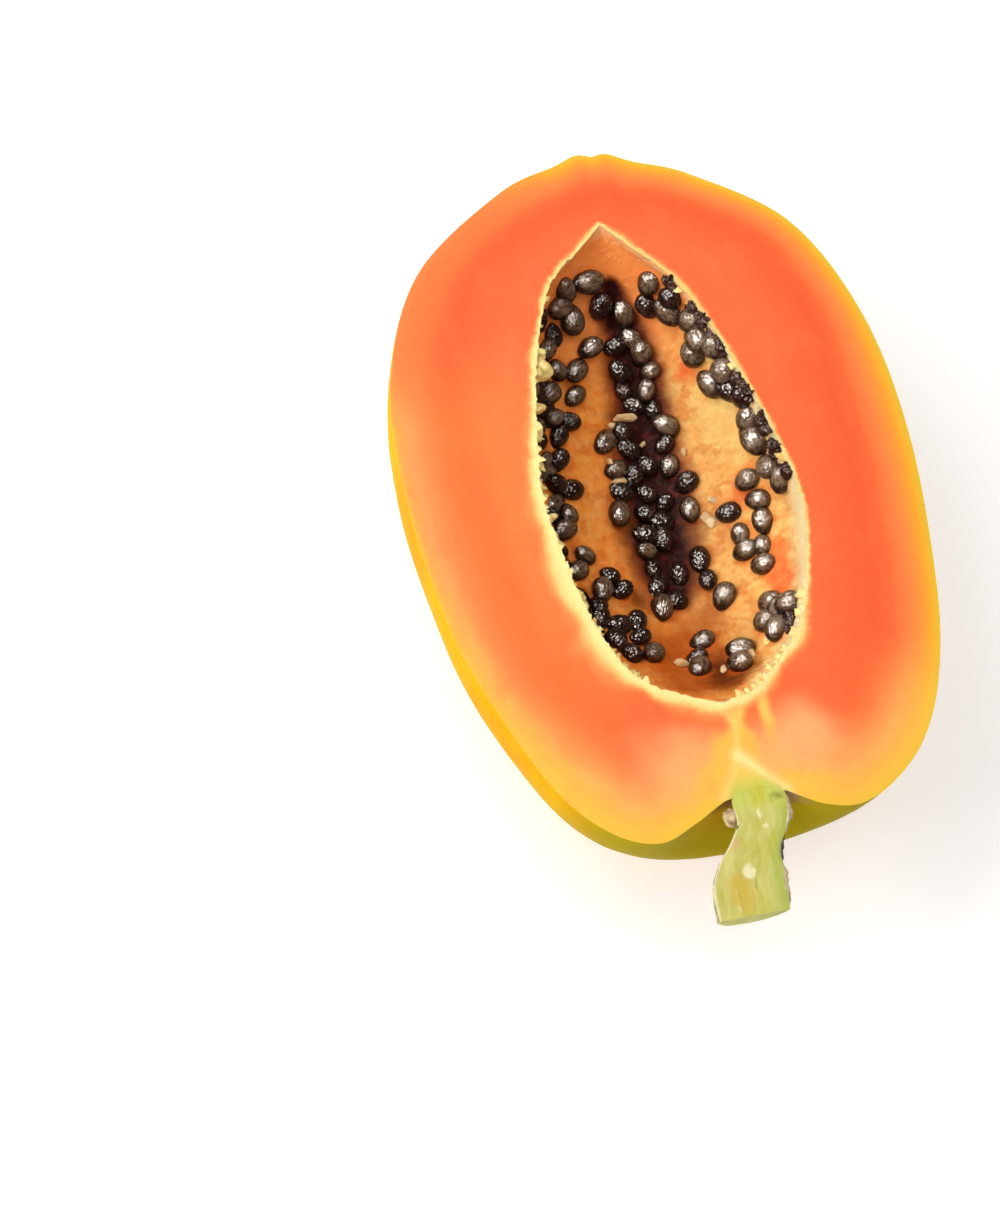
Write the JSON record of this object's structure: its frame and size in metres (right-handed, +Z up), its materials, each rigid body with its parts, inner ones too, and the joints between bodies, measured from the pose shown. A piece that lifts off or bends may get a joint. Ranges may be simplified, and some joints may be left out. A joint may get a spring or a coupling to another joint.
{
  "type": "papaya half",
  "caption": "Half of a ripe papaya cut lengthwise, resting on its skin: thick flesh round an open pointed hollow lined with seeds, with the halved stem at one end.",
  "frame": {"origin": "centre of the bounding box's bottom, on the surface that the skin rests on", "axes": "+Y along the fruit from the stem to the blossom tip, +Z up out of the cut face, +X across it"},
  "size_m": [0.1258, 0.1908, 0.0598],
  "materials": {
    "flesh": "moist orange flesh inside a thin yellow skin, with glossy black-brown seeds",
    "stem": "pale green fibrous cut face inside dry bark"
  },
  "bodies": {
    "root": {"papaya_half": "flesh", "stem": "stem"}
  },
  "joints": []
}
